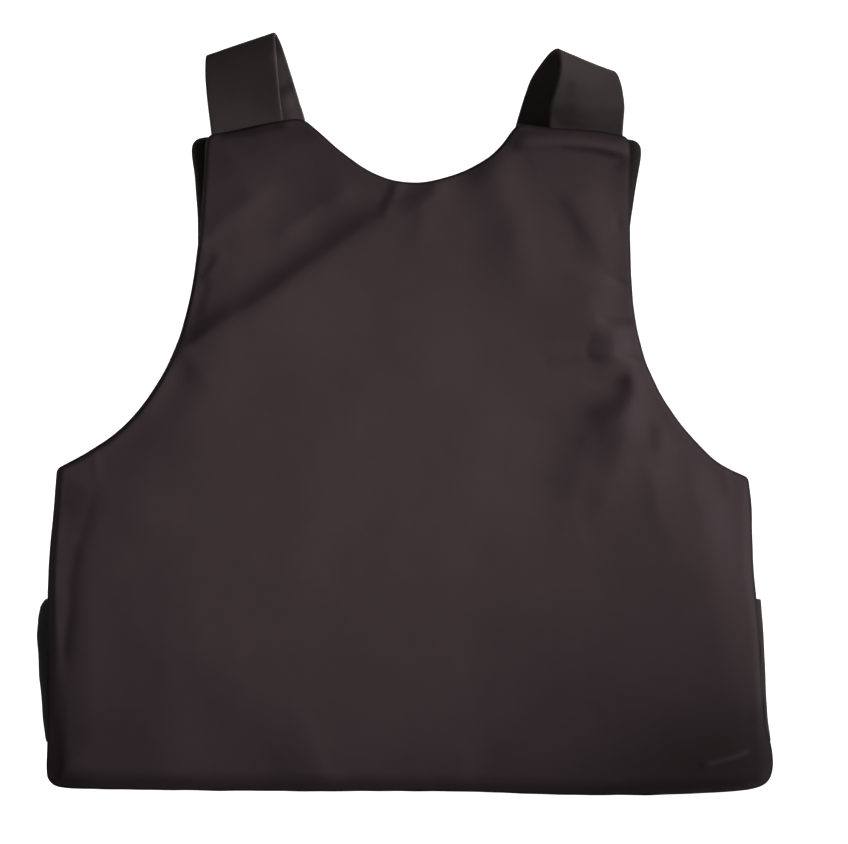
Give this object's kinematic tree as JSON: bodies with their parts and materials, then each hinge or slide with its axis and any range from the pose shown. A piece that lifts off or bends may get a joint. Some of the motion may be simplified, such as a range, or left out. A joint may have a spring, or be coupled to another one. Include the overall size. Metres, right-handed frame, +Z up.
{
  "type": "stab vest",
  "caption": "Covert stab vest lying on its back: padded front and back panels joined by looped shoulder straps and broad side straps, with an open torso hollow.",
  "frame": {"origin": "under the middle of the vest's outline, on the surface that its back panel lies on", "axes": "+Z up out of the front panel's outer face, +Y from the hem towards the neck, +X to the right as the front is seen from above"},
  "size_m": [0.5181, 0.5343, 0.0496],
  "materials": {
    "front_cover": "dark aubergine-brown woven cover cloth, soft matt sheen",
    "back_cover": "dark brown-black woven cover cloth, matt",
    "shoulder_strap_cloth": "dark brown-black brushed strap cloth with a sewn edge",
    "side_strap_cloth": "dark brown-black woven stretch cloth, matt"
  },
  "bodies": {
    "root": {"front_panel": "front_cover", "back_panel": "back_cover", "shoulder_strap_left": "shoulder_strap_cloth", "shoulder_strap_right": "shoulder_strap_cloth", "side_strap_left": "side_strap_cloth", "side_strap_right": "side_strap_cloth"}
  },
  "joints": []
}
